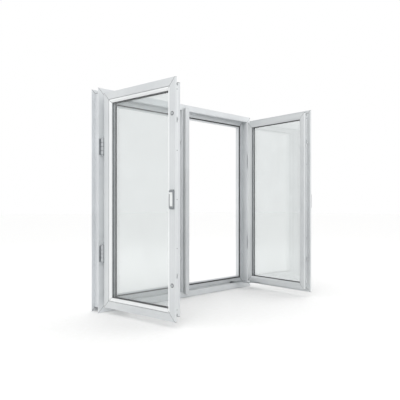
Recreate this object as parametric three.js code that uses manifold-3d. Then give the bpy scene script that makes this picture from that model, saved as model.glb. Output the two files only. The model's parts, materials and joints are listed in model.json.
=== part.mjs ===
// Two-leaf casement window: a metal outer frame with a fixed mullion, and two side-hung sashes that swing
// into the room. Millimetres. X runs across the window, Y from the room to the outside, Z up. The origin is
// the middle of the frame's bottom edge, on the frame's room face. The sashes stand open.
import * as THREE from "three";
import { mergeVertices } from "three/addons/utils/BufferGeometryUtils.js";
import Module from "manifold-3d";

const wasm = await Module();
wasm.setup();

// Overall sizes
const windowWidth = 1200;
const windowHeight = 1200;
const openAngle = 86; // degrees that each sash stands open

// Outer frame section, measured inward from the frame's outer edge and back from its room face
const frameDepth = 70;
const frameFace = 37;
const rearStopReach = 76;
const flangeThickness = 4;
const channelDepth = 20; // wall-fixing channel round the outside of the frame
const profileWall = 2.5;

// Mullion
const mullionWidth = 56;
const capWidth = 30;
const capProud = 22;
const capEndMargin = 19;
const capBevel = 1.5;

// Sash section, measured inward from the lip's outer edge and back from the sash's room face
const lipOverlap = 6; // how far the lip laps over the frame's face
const lipThickness = 11.5;
const lipGap = 0.5;
const sashBody = 20;
const sashLegReach = 18;
const sashLegThickness = 7;
const grooveWidth = 12; // hardware groove along the body's outer edge
const grooveDepth = 6.5;
const grooveSetback = 22;

// Glazing
const glassThickness = 24; // two panes and the space between them
const glassPane = 4;
const glassSpacerWidth = 10;
const glassVentRadius = 1.5; // lets the space out through the spacer, so that it isn't a sealed void
const glassEdgeCover = 14;
const gasketThickness = 2.4;
const beadDepth = 13; // sash's room face to the bead's back
const beadSetback = 1.5;
const beadFlat = 9;
const beadSlopeDepth = 7.5;

// Frame seal
const sealWidth = 8;
const sealThickness = 5;
const sealInset = 6;
const sealClearance = 1.4; // shut sash to seal

// Butt hinges
const barrelRadius = 10;
const hingeLength = 100;
const finialLength = 8;
const hingePinRadius = 4;
const hingeFromEnd = 284;
const knuckleCount = 4;
const leafPlate = 2;
const frameLeafWidth = 24;
const leafBridge = 4; // neck from a knuckle to its leaf

// Flush lever and its housing
const housingWidth = 28;
const housingHeight = 92;
const housingProud = 8;
const housingBevel = 6;
const housingWall = 3.5;
const housingFloor = 2;
const pocketEnd = 13; // housing end to the pocket's end
const housingFromEdge = 19;
const leverThickness = 4;
const leverBarrelRadius = 2.6;
const leverRidge = 3;
const trunnionRadius = 1.5;
const trunnionLength = 2.4;

// Lock rod, its faceplate and keepers
const rodThickness = 3.5;
const rodEndMargin = 50; // sash end to rod end
const rodTravel = 15;
const camRadius = 4;
const camReach = 9;
const camFromMiddle = 366;
const faceplateWidth = 16;
const faceplateThickness = 2;
const faceplateEndMargin = 34;
const keeperPlate = 2;
const keeperHook = 4;
const keeperHeight = 44;

// Stay: an arm from the sash to a shoe that glides along a rail on the sill
const stayPivotReach = 124; // pin axis to the arm's pivot, along the sash
const stayPivotDepth = 40; // pin axis to the arm's pivot, through the sash
const stayRatio = 0.7; // arm turn relative to the sill for each degree of sash
const armWidth = 24;
const armThickness = 3;
const shoeLength = 34;
const shoeWidth = 18;
const shoeThickness = 3;
const railThickness = 2;
const railWidth = 20;
const railEndMargin = 18;
const bracketSide = 26;
const bracketThickness = 1.8;
const rivetRadius = 3;
const rivetHeadRadius = 5;
const rivetHeadHeight = 1;

const gap = 0.3; // between pieces that touch
const runningGap = 0.3; // between a pin and its hole
const roundSides = 24;

// The sash is as deep as its glazing: bead, inner gasket, glass, outer gasket and leg
const sashDepth = beadDepth + gasketThickness + glassThickness + gasketThickness + 4 * gap + sashLegThickness;

// The sash body stands off the frame by the stay's layers: rail, shoe, arm, rivet head and bracket
const hardwareGap =
  railThickness + shoeThickness + armThickness + rivetHeadHeight + bracketThickness + 4 * gap;

const sashInset = frameFace - lipOverlap;
const lipWidth = lipOverlap + hardwareGap;
const sashProud = lipThickness + lipGap;
const rebateDepth = sashDepth - sashProud + sealClearance + sealThickness + 2 * gap;
const bodyEdge = lipWidth + sashBody;
const sightEdge = bodyEdge + sashLegReach;
const sashWidth = windowWidth / 2 - sashInset - (mullionWidth / 2 - lipOverlap);
const sashHeight = windowHeight - 2 * sashInset;
const sashBottom = sashInset;
const sashMiddle = windowHeight / 2;
const hingeOutset = barrelRadius + leafPlate + 2 * gap; // pin axis to the lip's outer edge
const axisX = windowWidth / 2 - sashInset + hingeOutset;
const axisY = -(barrelRadius + leafPlate + 2 * gap);
const hingeStandoff = -axisY - sashProud; // pin axis back to the sash's room face
const freeEdge = hingeOutset + sashWidth;
const theta = THREE.MathUtils.degToRad(openAngle);

// Materials
const aluminium = { color: 0xd3d5d6, roughness: 0.42, metalness: 0.35 };
const aluminiumInner = { color: 0xc4c7c9, roughness: 0.45, metalness: 0.35 };
const rubber = { color: 0x3a3c3e, roughness: 0.85, metalness: 0 };
const steel = { color: 0xb9bcbf, roughness: 0.32, metalness: 0.9 };
const lockMetal = { color: 0xe4e5e6, roughness: 0.38, metalness: 0.5 };
const nylon = { color: 0x2e3032, roughness: 0.6, metalness: 0 };
const glass = { color: 0xe8ecec, roughness: 0.05, metalness: 0, transparent: true, opacity: 0.35 };

const root = new THREE.Group();

function addMesh(group, name, geometry, finish) {
  const mesh = new THREE.Mesh(geometry, new THREE.MeshStandardMaterial(finish));
  mesh.name = name;
  group.add(mesh);
  return mesh;
}

// Booleans
function toSolid(geometry) {
  const bare = geometry.clone();
  bare.deleteAttribute("normal");
  bare.deleteAttribute("uv");
  const merged = mergeVertices(bare, 1e-4);
  return new wasm.Manifold(
    new wasm.Mesh({
      numProp: 3,
      vertProperties: merged.attributes.position.array,
      triVerts: new Uint32Array(merged.index.array),
    }),
  );
}

function toGeometry(solid) {
  const mesh = solid.getMesh();
  const geometry = new THREE.BufferGeometry();
  geometry.setAttribute("position", new THREE.BufferAttribute(mesh.vertProperties, 3));
  geometry.setIndex(new THREE.BufferAttribute(mesh.triVerts, 1));
  geometry.computeVertexNormals();
  return geometry;
}

function join(...geometries) {
  return toGeometry(geometries.map(toSolid).reduce((sum, next) => sum.add(next)));
}

function cut(geometry, ...tools) {
  return toGeometry(tools.map(toSolid).reduce((rest, tool) => rest.subtract(tool), toSolid(geometry)));
}

// Basic shapes
function block(x0, x1, y0, y1, z0, z1) {
  const box = new THREE.BoxGeometry(Math.abs(x1 - x0), Math.abs(y1 - y0), Math.abs(z1 - z0));
  return box.translate((x0 + x1) / 2, (y0 + y1) / 2, (z0 + z1) / 2);
}

function polygon(points) {
  return new THREE.Shape(points.map(([x, y]) => new THREE.Vector2(x, y)));
}

// A cylinder along X, Y or Z, from one coordinate to another, round a centre in the other two axes
function rod(axis, radius, from, to, a, b) {
  const cylinder = new THREE.CylinderGeometry(radius, radius, Math.abs(to - from), roundSides);
  const middle = (from + to) / 2;
  if (axis === "x") return cylinder.rotateZ(Math.PI / 2).translate(middle, a, b);
  if (axis === "y") return cylinder.translate(a, middle, b);
  return cylinder.rotateX(Math.PI / 2).translate(a, b, middle);
}

// An outline with round ends, length along the shape's y axis
function stadium(width, length, centreX = 0, centreY = 0) {
  const radius = width / 2;
  const straight = length / 2 - radius;
  const shape = new THREE.Shape();
  shape.absarc(centreX, centreY + straight, radius, 0, Math.PI, false);
  shape.absarc(centreX, centreY - straight, radius, Math.PI, 2 * Math.PI, false);
  shape.closePath();
  return shape;
}

// Extrudes a shape drawn in Y and Z along X, from x0 to x1
function extrudeX(shape, x0, x1) {
  const geometry = new THREE.ExtrudeGeometry(shape, {
    depth: Math.abs(x1 - x0),
    bevelEnabled: false,
    curveSegments: roundSides / 2,
  });
  const turn = new THREE.Matrix4().makeBasis(
    new THREE.Vector3(0, 1, 0),
    new THREE.Vector3(0, 0, 1),
    new THREE.Vector3(1, 0, 0),
  );
  return geometry.applyMatrix4(turn).translate(Math.min(x0, x1), 0, 0);
}

// Extrudes a shape drawn in X and Y up Z, from z0 to z1
function extrudeZ(shape, z0, z1) {
  const geometry = new THREE.ExtrudeGeometry(shape, {
    depth: z1 - z0,
    bevelEnabled: false,
    curveSegments: roundSides / 2,
  });
  return geometry.translate(0, 0, z0);
}

// A profile bar with mitred ends. The profile is drawn as (inward from the outer edge, back from the face).
function mitredBar(profile, length) {
  const geometry = new THREE.ExtrudeGeometry(profile, { depth: 1, bevelEnabled: false });
  const position = geometry.attributes.position;
  for (let i = 0; i < position.count; i++) {
    const halfLength = length / 2 - position.getX(i) - gap / 2;
    position.setZ(i, (position.getZ(i) - 0.5) * 2 * halfLength);
  }
  geometry.computeVertexNormals();
  return geometry;
}

// Four mitred bars round a rectangle: x0 to x1 and z0 to z1, with the profile's face at faceY
function mitredFrame(group, names, profile, x0, x1, z0, z1, faceY, finish) {
  const left = Math.min(x0, x1);
  const right = Math.max(x0, x1);
  const middleX = (left + right) / 2;
  const middleZ = (z0 + z1) / 2;
  const sides = [
    { name: names.left, turn: 0, length: z1 - z0, x: left, z: middleZ },
    { name: names.bottom, turn: -Math.PI / 2, length: right - left, x: middleX, z: z0 },
    { name: names.right, turn: Math.PI, length: z1 - z0, x: right, z: middleZ },
    { name: names.top, turn: Math.PI / 2, length: right - left, x: middleX, z: z1 },
  ];
  for (const side of sides) {
    const mesh = addMesh(group, side.name, mitredBar(profile, side.length), finish);
    mesh.rotation.y = side.turn;
    mesh.position.set(side.x, faceY, side.z);
  }
}

// A flat rectangular ring between y0 and y1, with the given outer edges and band width
function ring(x0, x1, z0, z1, band, y0, y1) {
  const outer = block(x0, x1, y0, y1, z0, z1);
  const left = Math.min(x0, x1) + band;
  const right = Math.max(x0, x1) - band;
  return cut(outer, block(left, right, y0 - 1, y1 + 1, z0 + band, z1 - band));
}

function rectanglePath(u0, u1, v0, v1) {
  const path = new THREE.Path();
  path.moveTo(u0, v0);
  path.lineTo(u0, v1);
  path.lineTo(u1, v1);
  path.lineTo(u1, v0);
  path.closePath();
  return path;
}

// Outer frame: room flange, wall channel, front chamber and the rear stop that the sashes close against
function frameProfile() {
  const profile = polygon([
    [0, 0],
    [frameFace, 0],
    [frameFace, rebateDepth],
    [rearStopReach, rebateDepth],
    [rearStopReach, frameDepth],
    [0, frameDepth],
    [0, frameDepth - flangeThickness],
    [channelDepth, frameDepth - flangeThickness],
    [channelDepth, flangeThickness],
    [0, flangeThickness],
  ]);
  const wall = profileWall;
  const stopFront = rebateDepth + wall;
  const back = frameDepth - wall;
  profile.holes.push(
    rectanglePath(channelDepth + wall, frameFace - wall, wall, back),
    rectanglePath(frameFace, rearStopReach - wall, stopFront, back),
  );
  return profile;
}

// Sash: lip over the frame's face, body with the hardware groove, and the outer leg behind the glass
function sashProfile() {
  const grooveEnd = grooveSetback + grooveWidth;
  const grooveFloor = lipWidth + grooveDepth;
  const profile = polygon([
    [0, 0],
    [bodyEdge, 0],
    [bodyEdge, sashDepth - sashLegThickness],
    [sightEdge, sashDepth - sashLegThickness],
    [sightEdge, sashDepth],
    [lipWidth, sashDepth],
    [lipWidth, grooveEnd],
    [grooveFloor, grooveEnd],
    [grooveFloor, grooveSetback],
    [lipWidth, grooveSetback],
    [lipWidth, lipThickness],
    [0, lipThickness],
  ]);
  const wall = profileWall;
  const chamberBack = sashDepth - sashLegThickness - wall;
  profile.holes.push(rectanglePath(grooveFloor + wall, bodyEdge - wall, wall, chamberBack));
  return profile;
}

// The outer gasket leg ends just in front of the sash's outer leg, and the glass and bead stack up from it
const outerGasketBack = sashDepth - sashLegThickness - gap;
const glassBack = outerGasketBack - gasketThickness - gap;
const glassFront = glassBack - glassThickness;
const innerGasketFront = glassFront - gap - gasketThickness;

function beadProfile() {
  return polygon([
    [bodyEdge + gap, beadSetback],
    [bodyEdge + beadFlat, beadSetback],
    [sightEdge, beadSetback + beadSlopeDepth],
    [sightEdge, beadDepth],
    [bodyEdge + gap, beadDepth],
  ]);
}

function buildFrame() {
  const frame = new THREE.Group();
  root.add(frame);
  const names = { left: "frame_jamb_left", bottom: "frame_sill", right: "frame_jamb_right", top: "frame_head" };
  const half = windowWidth / 2;
  mitredFrame(frame, names, frameProfile(), -half, half, 0, windowHeight, 0, aluminium);

  const halfMullion = mullionWidth / 2;
  const halfRear = halfMullion + rearStopReach - frameFace;
  const frontPart = block(
    -halfMullion,
    halfMullion,
    0,
    rebateDepth - gap,
    frameFace + gap,
    windowHeight - frameFace - gap,
  );
  const rearLow = rearStopReach + gap;
  const rearHigh = windowHeight - rearStopReach - gap;
  const rearPart = block(-halfRear, halfRear, rebateDepth - gap, frameDepth, rearLow, rearHigh);
  const chamberHalf = halfMullion - profileWall;
  const chamber = block(
    -chamberHalf,
    chamberHalf,
    profileWall,
    frameDepth - profileWall,
    -1,
    windowHeight + 1,
  );
  addMesh(frame, "mullion_post", cut(join(frontPart, rearPart), chamber), aluminium);

  const capOutline = stadium(
    capWidth - 2 * capBevel,
    windowHeight - 2 * capEndMargin - 2 * capBevel,
    0,
    windowHeight / 2,
  );
  const cap = new THREE.ExtrudeGeometry(capOutline, {
    depth: capProud - gap - capBevel,
    bevelThickness: capBevel,
    bevelSize: capBevel,
    bevelSegments: 2,
    curveSegments: roundSides / 2,
  });
  const capMesh = addMesh(frame, "mullion_cap", cutBackBevel(cap), aluminium);
  capMesh.rotation.x = Math.PI / 2;
  capMesh.position.y = -gap;

  const sealLow = rearStopReach - sealInset - sealWidth;
  const sealY0 = rebateDepth - 2 * gap - sealThickness;
  const sealY1 = rebateDepth - 2 * gap;
  for (const [side, dir] of [["left", -1], ["right", 1]]) {
    const outerX = dir * (windowWidth / 2 - sealLow);
    const innerX = dir * (halfRear - sealInset - sealWidth);
    const seal = ring(outerX, innerX, sealLow, windowHeight - sealLow, sealWidth, sealY0, sealY1);
    addMesh(frame, "frame_seal_" + side, seal, rubber);
  }
}

// The cap's back is flat: the bevel behind the back plane is cut away
function cutBackBevel(geometry) {
  const reach = windowHeight + windowWidth;
  return cut(geometry, block(-reach, reach, -reach, reach, -capBevel - 1, 0));
}

// Keepers on the mullion: a plate with a hook that the cam slides up behind
function buildKeepers(side, dir) {
  const plateX = dir * (mullionWidth / 2 + gap);
  const plateEdge = plateX + dir * keeperPlate;
  const hookEdge = dir * (axisX - freeEdge + lipWidth - gap - faceplateThickness - 3 * gap);
  const camY = axisY + hingeStandoff + grooveSetback + grooveWidth / 2;
  const hookBack = camY - camRadius - gap;
  for (const [level, offset] of [["upper", camFromMiddle], ["lower", -camFromMiddle]]) {
    const camZ = sashMiddle + offset;
    const z0 = camZ - keeperHeight / 3;
    const z1 = z0 + keeperHeight;
    const plate = block(plateX, plateEdge, hookBack - keeperHook, camY + camRadius, z0, z1);
    const hookZ = camZ + camRadius + 1;
    const hook = block(plateX, hookEdge, hookBack - keeperHook, hookBack, hookZ, z1);
    addMesh(root, "keeper_" + side + "_" + level, join(plate, hook), steel);
  }
}

// Hinges: knuckles alternate from the top, first the sash's, then the frame's
function buildHinges(side, dir, sash) {
  const barrelLength = hingeLength - 2 * finialLength;
  const knuckleLength = barrelLength / knuckleCount;
  const levels = [
    ["upper", windowHeight - sashInset - hingeFromEnd],
    ["lower", sashInset + hingeFromEnd],
  ];
  for (const [level, z] of levels) {
    const top = z + barrelLength / 2;
    const bottom = z - barrelLength / 2;
    // The sash's leaf stands on the lip's outer edge, and the frame's lies on the room flange
    const leafInner = dir * (barrelRadius + gap);
    const leafOuter = dir * (barrelRadius + gap + leafPlate);
    const lipBack = hingeStandoff + lipThickness;
    const sashPieces = [block(leafInner, leafOuter, hingeStandoff, lipBack, bottom, top)];
    const leafFront = barrelRadius + gap;
    const leafBack = leafFront + leafPlate;
    const frameX0 = dir * (barrelRadius - 1);
    const frameX1 = frameX0 - dir * frameLeafWidth;
    const framePieces = [block(frameX0, frameX1, leafFront, leafBack, bottom, top)];
    for (let i = 0; i < knuckleCount; i++) {
      const high = top - i * knuckleLength - gap / 2;
      const low = high - knuckleLength + gap;
      const knuckle = rod("z", barrelRadius, low, high, 0, 0);
      if (i % 2 === 0) {
        const neckFront = hingeStandoff;
        sashPieces.push(knuckle, block(0, leafOuter, neckFront, neckFront + leafBridge, low, high));
      } else {
        framePieces.push(knuckle, block(-leafBridge / 2, leafBridge / 2, 0, leafBack, low, high));
      }
    }
    const bore = rod("z", hingePinRadius + runningGap, bottom - 1, top + 1, 0, 0);
    addMesh(sash, "hinge_sash_leaf_" + side + "_" + level, cut(join(...sashPieces), bore), steel);
    const frameLeaf = addMesh(
      root,
      "hinge_frame_leaf_" + side + "_" + level,
      cut(join(...framePieces), bore),
      steel,
    );
    frameLeaf.position.set(-dir * axisX, axisY, 0);
    const halfBarrel = barrelLength / 2 + gap / 2;
    const tip = hingeLength / 2;
    const outline = [
      [0, -tip],
      [barrelRadius * 0.3, -tip],
      [barrelRadius * 0.85, -tip + finialLength * 0.55],
      [barrelRadius, -halfBarrel],
      [hingePinRadius, -halfBarrel],
      [hingePinRadius, halfBarrel],
      [barrelRadius, halfBarrel],
      [barrelRadius * 0.85, tip - finialLength * 0.55],
      [barrelRadius * 0.3, tip],
      [0, tip],
    ];
    const points = outline.map(([x, y]) => new THREE.Vector2(x, y));
    const pin = new THREE.LatheGeometry(points, roundSides).rotateX(Math.PI / 2);
    const pinMesh = addMesh(root, "hinge_pin_" + side + "_" + level, pin, steel);
    pinMesh.position.set(-dir * axisX, axisY, z);
  }
}

// Flush lever: the housing stands on the meeting stile, and the lever lies in its pocket and flips out
function buildLever(side, dir, sash) {
  const face = hingeStandoff - gap;
  const centreX = freeEdge - housingFromEdge;
  const half = housingHeight / 2;
  const front = face - housingProud;
  const shellOutline = polygon([
    [face, sashMiddle - half],
    [face, sashMiddle + half],
    [front, sashMiddle + half - housingBevel],
    [front, sashMiddle - half + housingBevel],
  ]);
  const x0 = centreX - housingWidth / 2;
  const x1 = centreX + housingWidth / 2;
  const shell = extrudeX(shellOutline, dir * x0, dir * x1);
  const pocketHalf = half - pocketEnd;
  const pocket = block(
    dir * (x0 + housingWall),
    dir * (x1 - housingWall),
    front - 1,
    face - housingFloor,
    sashMiddle - pocketHalf,
    sashMiddle + pocketHalf,
  );
  const leverY = face - housingFloor - gap - leverBarrelRadius;
  const leverZ = sashMiddle - pocketHalf + gap + leverBarrelRadius;
  const holeReach = trunnionLength + runningGap + gap;
  const holes = rod(
    "x",
    trunnionRadius + runningGap,
    dir * (x0 + housingWall - holeReach),
    dir * (x1 - housingWall + holeReach),
    leverY,
    leverZ,
  );
  addMesh(sash, "handle_housing_" + side, cut(shell, pocket, holes), lockMetal);

  const lever = new THREE.Group();
  lever.name = "lever_axis_" + side;
  lever.position.set(dir * centreX, leverY, leverZ);
  sash.add(lever);
  const leverHalf = housingWidth / 2 - housingWall - gap;
  const reach = 2 * pocketHalf - 2 * gap - leverBarrelRadius;
  const plate = block(-leverHalf, leverHalf, -leverThickness / 2, leverThickness / 2, 0, reach);
  const ridgeFront = front - leverY - leverRidge;
  const ridge = block(-leverHalf, leverHalf, ridgeFront, leverThickness / 2, reach - 7, reach);
  const barrel = rod("x", leverBarrelRadius, -leverHalf, leverHalf, 0, 0);
  const trunnionHalf = leverHalf + trunnionLength;
  const trunnions = rod("x", trunnionRadius, -trunnionHalf, trunnionHalf, 0, 0);
  addMesh(lever, "handle_lever_" + side, join(plate, ridge, barrel, trunnions), lockMetal);
}

// Lock rod in the meeting stile's groove, with a faceplate over it and a cam at each lock point
function buildLock(side, dir, sash) {
  const bodyFace = freeEdge - lipWidth;
  const grooveMiddle = hingeStandoff + grooveSetback + grooveWidth / 2;
  const plateInner = bodyFace + gap;
  const plateOuter = plateInner + faceplateThickness;
  const outline = stadium(
    faceplateWidth,
    sashHeight - 2 * faceplateEndMargin,
    grooveMiddle,
    sashMiddle,
  );
  const slotWidth = 2 * camRadius + 2 * runningGap;
  for (const offset of [camFromMiddle, -camFromMiddle]) {
    const slotMiddle = sashMiddle + offset + rodTravel / 2;
    outline.holes.push(stadium(slotWidth, slotWidth + rodTravel, grooveMiddle, slotMiddle));
  }
  addMesh(sash, "lock_faceplate_" + side, extrudeX(outline, dir * plateInner, dir * plateOuter), steel);

  const rodOuter = bodyFace - gap;
  const rodInner = rodOuter - rodThickness;
  const halfWidth = grooveWidth / 2 - 2 * gap;
  const strip = block(
    dir * rodInner,
    dir * rodOuter,
    grooveMiddle - halfWidth,
    grooveMiddle + halfWidth,
    sashBottom + rodEndMargin,
    sashBottom + sashHeight - rodEndMargin - rodTravel,
  );
  const cams = [camFromMiddle, -camFromMiddle].map((offset) =>
    rod("x", camRadius, dir * (rodOuter - 1), dir * (rodOuter + camReach), grooveMiddle, sashMiddle + offset),
  );
  addMesh(sash, "lock_rod_" + side, join(strip, ...cams), steel);
}

// Heights of the stay's layers, from the sill's floor up to the underside of the sash body
const railTop = frameFace + gap + railThickness;
const shoeBottom = railTop + gap;
const shoeTop = shoeBottom + shoeThickness;
const armBottom = shoeTop + gap;
const armTop = armBottom + armThickness;
const bracketTop = sashBottom + lipWidth - gap;
const bracketBottom = bracketTop - bracketThickness;

// Arm length that puts the shoe on its rail both when the sash is shut and when it stands open
const stayDrop =
  stayPivotReach * Math.sin(theta) - stayPivotDepth * Math.cos(theta) + stayPivotDepth;
const armLength = stayDrop / Math.sin(stayRatio * theta);

function buildStay(side, dir, sash) {
  const half = bracketSide / 2;
  const bracketX = dir * stayPivotReach;
  const bracketY = stayPivotDepth - armWidth / 2;
  const bracketPlate = block(
    bracketX - half,
    bracketX + half,
    bracketY - half / 2,
    bracketY + half,
    bracketBottom,
    bracketTop,
  );
  const boss = rod("z", rivetHeadRadius, armTop + gap, bracketTop, bracketX, stayPivotDepth);
  const studBottom = armBottom - gap - rivetHeadHeight;
  const stud = rod("z", rivetRadius, studBottom, bracketTop, bracketX, stayPivotDepth);
  const studHead = rod("z", rivetHeadRadius, studBottom, armBottom - gap, bracketX, stayPivotDepth);
  addMesh(sash, "stay_bracket_" + side, join(bracketPlate, boss, stud, studHead), steel);

  const arm = new THREE.Group();
  arm.name = "stay_axis_" + side;
  arm.position.set(dir * stayPivotReach, stayPivotDepth, 0);
  arm.rotation.z = dir * (1 + stayRatio) * theta;
  sash.add(arm);
  const outline = stadium(armWidth, armLength + armWidth, 0, armLength / 2);
  const armBlank = extrudeZ(outline, armBottom, armTop).rotateZ(-dir * Math.PI / 2);
  const holeRadius = rivetRadius + runningGap;
  const nearHole = rod("z", holeRadius, armBottom - 1, armTop + 1, 0, 0);
  const farHole = rod("z", holeRadius, armBottom - 1, armTop + 1, dir * armLength, 0);
  addMesh(arm, "stay_arm_" + side, cut(armBlank, nearHole, farHole), steel);

  const shoe = new THREE.Group();
  shoe.name = "shoe_axis_" + side;
  shoe.position.x = dir * armLength;
  shoe.rotation.z = -dir * stayRatio * theta;
  arm.add(shoe);
  const base = extrudeZ(stadium(shoeWidth, shoeLength), shoeBottom, shoeTop).rotateZ(Math.PI / 2);
  const shoeStudTop = armTop + gap + rivetHeadHeight;
  const shoeStud = rod("z", rivetRadius, shoeTop - 1, shoeStudTop, 0, 0);
  const shoeHead = rod("z", rivetHeadRadius, armTop + gap, shoeStudTop, 0, 0);
  addMesh(shoe, "stay_shoe_" + side, join(base, shoeStud, shoeHead), nylon);

  const pivotAcross = stayPivotReach * Math.cos(theta) + stayPivotDepth * Math.sin(theta);
  const openShoe = pivotAcross + armLength * Math.cos(stayRatio * theta);
  const shutShoe = stayPivotReach + armLength;
  const margin = shoeLength / 2 + railEndMargin;
  const railStart = -dir * (axisX - openShoe + margin);
  const railEnd = -dir * (axisX - shutShoe - margin);
  const railY = axisY + stayPivotDepth;
  const rail = block(
    railStart,
    railEnd,
    railY - railWidth / 2,
    railY + railWidth / 2,
    frameFace + gap,
    railTop,
  );
  addMesh(root, "stay_rail_" + side, rail, steel);
}

function buildSash(side, dir) {
  const sash = new THREE.Group();
  sash.name = "sash_axis_" + side;
  sash.position.set(-dir * axisX, axisY, 0);
  sash.rotation.z = -dir * theta;
  root.add(sash);

  const edges = dir > 0 ? ["left", "right"] : ["right", "left"];
  const stiles = (prefix) => ({
    [edges[0]]: prefix + "_hinge_side_" + side,
    [edges[1]]: prefix + "_lock_side_" + side,
    bottom: prefix + "_bottom_" + side,
    top: prefix + "_top_" + side,
  });
  const x0 = dir * hingeOutset;
  const x1 = dir * freeEdge;
  const z0 = sashBottom;
  const z1 = sashBottom + sashHeight;
  mitredFrame(sash, stiles("sash"), sashProfile(), x0, x1, z0, z1, hingeStandoff, aluminium);
  mitredFrame(sash, stiles("bead"), beadProfile(), x0, x1, z0, z1, hingeStandoff, aluminiumInner);

  const glassEdge = sightEdge - glassEdgeCover;
  const glassBlock = (edge, front, back) =>
    block(
      x0 + dir * edge,
      x1 - dir * edge,
      hingeStandoff + front,
      hingeStandoff + back,
      z0 + edge,
      z1 - edge,
    );
  const spaceEdge = glassEdge + glassSpacerWidth;
  const space = glassBlock(spaceEdge, glassFront + glassPane, glassBack - glassPane);
  const ventY = hingeStandoff + (glassFront + glassBack) / 2;
  const vent = rod("z", glassVentRadius, z1 - spaceEdge - 1, z1 - glassEdge + 1, (x0 + x1) / 2, ventY);
  addMesh(sash, "glass_" + side, cut(glassBlock(glassEdge, glassFront, glassBack), space, vent), glass);

  const gasketEdge = bodyEdge + 2 * gap;
  const gasketLeg = sightEdge - gap - gasketEdge;
  const gasketBase = glassEdge - gap - gasketEdge;
  const gasketRing = (band, front, back) =>
    ring(
      x0 + dir * gasketEdge,
      x1 - dir * gasketEdge,
      z0 + gasketEdge,
      z1 - gasketEdge,
      band,
      hingeStandoff + front,
      hingeStandoff + back,
    );
  const gasket = join(
    gasketRing(gasketBase, innerGasketFront, outerGasketBack),
    gasketRing(gasketLeg, innerGasketFront, innerGasketFront + gasketThickness),
    gasketRing(gasketLeg, outerGasketBack - gasketThickness, outerGasketBack),
  );
  addMesh(sash, "glazing_gasket_" + side, gasket, rubber);

  buildHinges(side, dir, sash);
  buildLever(side, dir, sash);
  buildLock(side, dir, sash);
  buildStay(side, dir, sash);
  buildKeepers(side, -dir);
}

buildFrame();
buildSash("left", 1);
buildSash("right", -1);

export default root;
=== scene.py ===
# Two-leaf casement window: coated aluminium frame and sashes, sealed glass, steel hinges, locks and stays
import json
import math

import bmesh
import bpy
from mathutils import Matrix, Vector


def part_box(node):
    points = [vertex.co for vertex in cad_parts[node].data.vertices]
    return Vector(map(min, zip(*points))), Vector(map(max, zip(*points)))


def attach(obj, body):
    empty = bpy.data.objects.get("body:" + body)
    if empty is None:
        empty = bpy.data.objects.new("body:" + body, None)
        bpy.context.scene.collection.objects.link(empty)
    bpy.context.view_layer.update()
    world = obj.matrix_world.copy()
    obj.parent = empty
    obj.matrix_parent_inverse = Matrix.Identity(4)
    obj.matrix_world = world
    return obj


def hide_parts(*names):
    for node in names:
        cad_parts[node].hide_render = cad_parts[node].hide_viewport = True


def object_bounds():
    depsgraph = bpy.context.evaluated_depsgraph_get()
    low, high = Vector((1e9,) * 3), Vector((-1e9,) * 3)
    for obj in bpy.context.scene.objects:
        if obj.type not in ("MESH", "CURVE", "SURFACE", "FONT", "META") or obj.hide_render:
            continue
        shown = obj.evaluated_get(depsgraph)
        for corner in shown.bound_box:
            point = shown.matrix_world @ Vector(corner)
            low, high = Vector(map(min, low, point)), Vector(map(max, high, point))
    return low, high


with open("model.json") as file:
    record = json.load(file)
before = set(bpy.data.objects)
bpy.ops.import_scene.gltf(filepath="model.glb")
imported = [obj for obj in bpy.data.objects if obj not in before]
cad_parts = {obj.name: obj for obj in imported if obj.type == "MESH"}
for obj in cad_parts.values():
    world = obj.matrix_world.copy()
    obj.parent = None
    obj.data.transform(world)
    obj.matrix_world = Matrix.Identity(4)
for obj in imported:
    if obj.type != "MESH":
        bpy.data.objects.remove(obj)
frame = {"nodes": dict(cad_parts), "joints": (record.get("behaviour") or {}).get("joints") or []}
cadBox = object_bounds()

scene = bpy.context.scene
mm = 0.001
sides = {"left": 1, "right": -1}  # direction from a sash's hinges towards its free edge, when shut
hinges = {side: next(j for j in frame["joints"] if j["name"] == "sash_hinge_" + side) for side in sides}
openAngle = math.radians(max(hinges["left"]["range_deg"]))


def millimetres(metres):
    return round(float(metres) / mm, 3)


cameraSetup = {
    "place": (-1.9631, -2.3364, 0.5700),  # m
    "turn": 47.62,  # degrees to the right of straight ahead
    "lens": 43.68,  # mm
    "sensor": 36,
    "shift": (-0.125, 0.0148),
}
studio = {
    "floorSize": 60,  # m
    "floorDrop": 0.001,  # m below the sill
    "floor": "#ffffff",
    "floorShade": "#fcfcfb",
    "roller": 25,  # mm across the paint roller's marks
    "world": "#ffffff",
    "worldStrength": 1.0,
}
lamps = [
    {"name": "keyLamp", "place": (-3.2, -2.6, 3.4), "aim": (0, 0, 0.6), "size": 2.6, "power": 34},
    {"name": "fillLamp", "place": (2.9, -2.4, 1.8), "aim": (0, 0, 0.6), "size": 3.0, "power": 9},
    {"name": "backLamp", "place": (0.6, 3.4, 2.8), "aim": (0, 0, 0.7), "size": 3.0, "power": 10},
]


# The standard curve from a screen colour to the amount of light
def linearColour(hexColour):
    parts = [int(hexColour[i : i + 2], 16) / 255 for i in (1, 3, 5)]
    return [c / 12.92 if c <= 0.04045 else ((c + 0.055) / 1.055) ** 2.4 for c in parts] + [1]


def addNode(tree, kind, settings=None, inputs=None):
    # settings are the node's own properties, where stops are a colour ramp's positions and colours;
    # an input is a value, or the socket that feeds it
    node = tree.nodes.new("ShaderNode" + kind)
    for key, value in (settings or {}).items():
        if key == "stops":
            elements = node.color_ramp.elements
            while len(elements) < len(value):
                elements.new(0.5)
            for element, (position, colour) in zip(elements, value):
                element.position = position
                element.color = colour
        else:
            setattr(node, key, value)
    for key, value in (inputs or {}).items():
        if isinstance(value, bpy.types.NodeSocket):
            tree.links.new(value, node.inputs[key])
        else:
            node.inputs[key].default_value = value
    return node


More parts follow.
